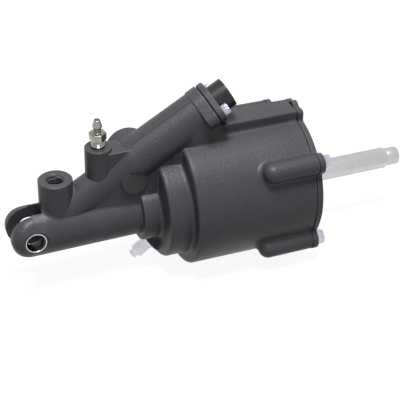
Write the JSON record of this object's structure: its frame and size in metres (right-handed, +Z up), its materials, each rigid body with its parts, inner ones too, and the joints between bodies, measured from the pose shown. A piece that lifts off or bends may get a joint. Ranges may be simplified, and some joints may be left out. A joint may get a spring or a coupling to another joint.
{
  "type": "clutch servo",
  "caption": "Air-assisted hydraulic clutch servo: forked arm with pressure port and bleeder, inclined valve tube, air cylinder with rear cover and a hexagonal pushrod.",
  "frame": {"origin": "centre of the fork's pin bore, midway between the ears", "axes": "+X along the bore towards the pushrod, +Y along the fork's pin away from the side plug, +Z up towards the hydraulic port and the bleed screw"},
  "size_m": [0.3225, 0.1072, 0.1448],
  "materials": {
    "coated_casting": "satin graphite coating on a sand-textured aluminium casting",
    "bush_steel": "plain steel-backed bush",
    "nickel_steel": "nickel plated",
    "clear_plastic": "translucent natural polyethylene",
    "gasket_fibre": "pressed fibre gasket",
    "zinc_steel": "bright zinc plated",
    "black_gloss": "glossy black moulding",
    "black_rubber": "matt black rubber",
    "bare_aluminium": "machined",
    "spring_steel": "oil tempered wire",
    "guide_plastic": "natural bearing plastic",
    "ground_steel": "ground",
    "rod_steel": "satin zinc plated hexagon bar"
  },
  "bodies": {
    "housing": {"main_housing": "coated_casting", "clevis_bushes": "bush_steel", "side_plug": "coated_casting", "flange_gasket": "gasket_fibre", "valve_flange": "coated_casting", "flange_screws": "zinc_steel", "exhaust_cap": "black_gloss", "exhaust_flap": "black_rubber", "rear_cover": "coated_casting", "cover_gasket": "gasket_fibre", "cover_bolts": "zinc_steel", "dust_ring": "black_rubber", "graduating_spring": "spring_steel", "valve_cage": "bare_aluminium", "poppet_guide": "bare_aluminium", "poppet_spring": "spring_steel", "cage_rings": "black_rubber", "guide_bush": "guide_plastic", "plunger_seal": "black_rubber", "seal_washer": "ground_steel", "circlip": "spring_steel", "preload_spring": "spring_steel"},
    "power": {"power_piston": "bare_aluminium", "piston_seal": "black_rubber", "piston_guide_ring": "guide_plastic", "rod_keeper": "guide_plastic", "plunger": "ground_steel"},
    "rod": {"pushrod": "rod_steel"},
    "control": {"control_piston": "bare_aluminium", "control_seal": "black_rubber", "graduating_piston": "bare_aluminium", "graduating_ring": "black_rubber"},
    "valve": {"poppet": "black_rubber"},
    "bleeder": {"bleed_screw": "nickel_steel"},
    "port_plug": {"air_port_plug": "clear_plastic"}
  },
  "joints": [
    {"name": "power_slide", "type": "slide", "parent": "housing", "child": "power", "axis": [1, 0, 0], "range_m": [-0.04, 0], "stiffness_N_per_m": 900, "springref_m": 0.03, "deforming": ["preload_spring"]},
    {"name": "rod_swing", "type": "hinge", "parent": "power", "child": "rod", "pos_m": [0.178, 0, 0], "axis": [0, 1, 0], "range_deg": [-3, 3]},
    {"name": "control_slide", "type": "slide", "parent": "housing", "child": "control", "axis": [0.866, 0, 0.5], "range_m": [0, 0.0035], "stiffness_N_per_m": 1500, "springref_m": -0.001, "deforming": ["graduating_spring"]},
    {"name": "poppet_slide", "type": "slide", "parent": "housing", "child": "valve", "axis": [0.866, 0, 0.5], "range_m": [0, 0.0022], "deforming": ["poppet_spring"]},
    {"name": "bleeder_turn", "type": "hinge", "parent": "housing", "child": "bleeder", "pos_m": [0.0536, 0, 0.0602], "axis": [0, 0, 1], "range_deg": [0, 180]},
    {"name": "plug_pull", "type": "slide", "parent": "housing", "child": "port_plug", "axis": [-0.8211, 0, -0.5707], "range_m": [0, 0.03]}
  ],
  "couplings": [
    {"joint": "poppet_slide", "follows": "control_slide", "ratio": 0.6}
  ]
}
